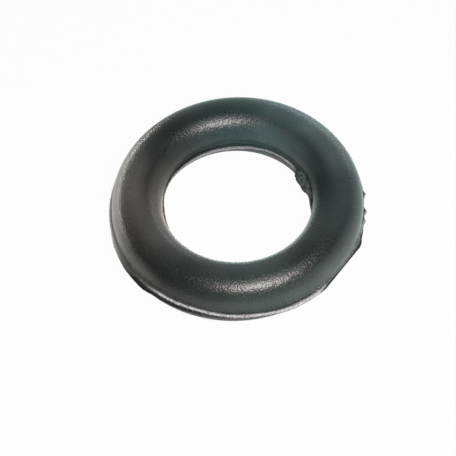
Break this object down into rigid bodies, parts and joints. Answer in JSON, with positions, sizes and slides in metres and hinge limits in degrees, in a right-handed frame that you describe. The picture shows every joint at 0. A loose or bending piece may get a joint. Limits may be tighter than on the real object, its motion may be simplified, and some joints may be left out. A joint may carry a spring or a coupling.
{
  "type": "exhaust hanger rubber",
  "caption": "Plain round-section rubber ring that loops over hooks to hang an exhaust pipe, with moulding flash left at the parting line.",
  "frame": {"origin": "middle of the ring on the parting plane between the two moulded halves", "axes": "+Z along the ring's axis, out of the upper face; the ring lies flat in XY, +X is the right of the picture and +Y points away from its viewer"},
  "size_m": [0.0636, 0.0635, 0.014],
  "materials": {
    "rubber": "satin"
  },
  "bodies": {
    "root": {"hanger_ring": "rubber"}
  },
  "joints": []
}
